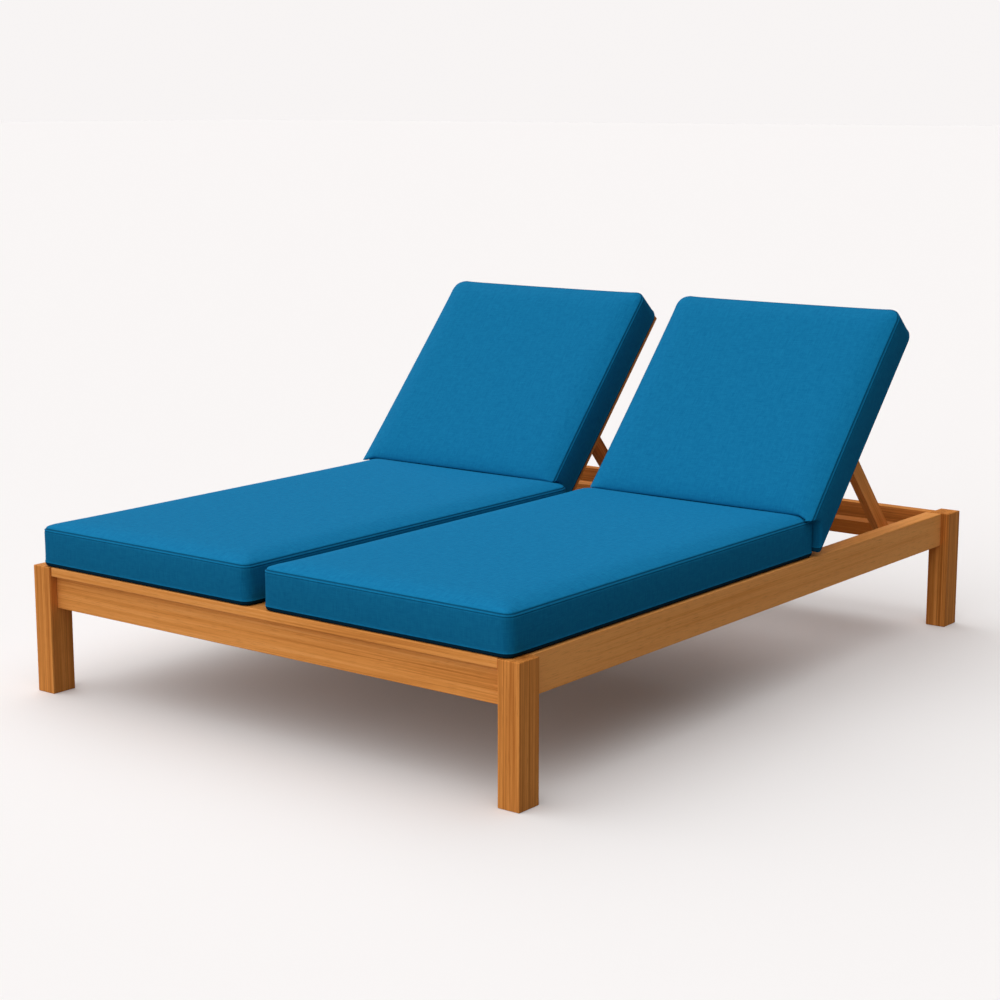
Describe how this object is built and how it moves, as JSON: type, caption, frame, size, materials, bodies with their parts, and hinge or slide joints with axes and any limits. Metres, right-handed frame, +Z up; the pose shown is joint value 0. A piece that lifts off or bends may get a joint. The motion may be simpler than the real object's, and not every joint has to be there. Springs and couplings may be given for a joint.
{
  "type": "double chaise lounger",
  "caption": "Wide outdoor chaise lounger for two, with a slatted hardwood frame, separate reclining backs on folding props and loose box cushions.",
  "frame": {"origin": "on the floor under the middle of the frame", "axes": "+Y towards the head end, +X to the right of someone who stands at the foot end and looks to the head end, +Z up"},
  "size_m": [1.48, 2, 0.8956],
  "materials": {
    "frame_wood": "oiled, straight grain, satin",
    "cushion_cloth": "matte plain weave",
    "hardware": "brushed stainless"
  },
  "bodies": {
    "frame": {"foot_rail": "frame_wood", "head_rail": "frame_wood", "foot_slat": "frame_wood", "centre_rail": "frame_wood", "slat_screws": "hardware", "frame_hinge_leaves": "hardware", "hinge_pins": "hardware", "seat_slat_01": "frame_wood", "seat_slat_02": "frame_wood", "seat_slat_03": "frame_wood", "seat_slat_04": "frame_wood", "seat_slat_05": "frame_wood", "seat_slat_06": "frame_wood", "seat_slat_07": "frame_wood", "seat_slat_08": "frame_wood", "seat_slat_09": "frame_wood", "seat_slat_10": "frame_wood", "seat_slat_11": "frame_wood", "seat_slat_12": "frame_wood", "leg_front_left": "frame_wood", "leg_rear_left": "frame_wood", "side_rail_left": "frame_wood", "ledger_batten_left": "frame_wood", "hinge_beam_left": "frame_wood", "prop_rail_left": "frame_wood", "seat_cushion_left": "cushion_cloth", "leg_front_right": "frame_wood", "leg_rear_right": "frame_wood", "side_rail_right": "frame_wood", "ledger_batten_right": "frame_wood", "hinge_beam_right": "frame_wood", "prop_rail_right": "frame_wood", "seat_cushion_right": "cushion_cloth"},
    "backrest_left": {"back_stile_inner_left": "frame_wood", "back_stile_outer_left": "frame_wood", "back_hinge_rail_left": "frame_wood", "back_middle_rail_left": "frame_wood", "back_top_rail_left": "frame_wood", "back_slats_left": "frame_wood", "back_hinge_leaves_left": "hardware", "pivot_blocks_left": "frame_wood", "pivot_bolts_left": "hardware", "back_cushion_left": "cushion_cloth"},
    "backrest_right": {"back_stile_inner_right": "frame_wood", "back_stile_outer_right": "frame_wood", "back_hinge_rail_right": "frame_wood", "back_middle_rail_right": "frame_wood", "back_top_rail_right": "frame_wood", "back_slats_right": "frame_wood", "back_hinge_leaves_right": "hardware", "pivot_blocks_right": "frame_wood", "pivot_bolts_right": "hardware", "back_cushion_right": "cushion_cloth"},
    "prop_left": {"prop_strut_inner_left": "frame_wood", "prop_strut_outer_left": "frame_wood", "prop_stretcher_left": "frame_wood"},
    "prop_right": {"prop_strut_inner_right": "frame_wood", "prop_strut_outer_right": "frame_wood", "prop_stretcher_right": "frame_wood"}
  },
  "joints": [
    {"name": "recline_left", "type": "hinge", "parent": "frame", "child": "backrest_left", "pos_m": [-0.365, 0.236, 0.306], "axis": [1, 0, 0], "range_deg": [-48, 0]},
    {"name": "prop_swing_left", "type": "hinge", "parent": "backrest_left", "child": "prop_left", "pos_m": [-0.4205, 0.54534, 0.55765], "axis": [1, 0, 0], "range_deg": [-83.8, 0]},
    {"name": "recline_right", "type": "hinge", "parent": "frame", "child": "backrest_right", "pos_m": [0.365, 0.236, 0.306], "axis": [1, 0, 0], "range_deg": [-48, 0]},
    {"name": "prop_swing_right", "type": "hinge", "parent": "backrest_right", "child": "prop_right", "pos_m": [0.4205, 0.54534, 0.55765], "axis": [1, 0, 0], "range_deg": [-83.8, 0]}
  ],
  "couplings": [
    {"joint": "prop_swing_left", "follows": "recline_left", "ratio": 1.7458},
    {"joint": "prop_swing_right", "follows": "recline_right", "ratio": 1.7458}
  ]
}
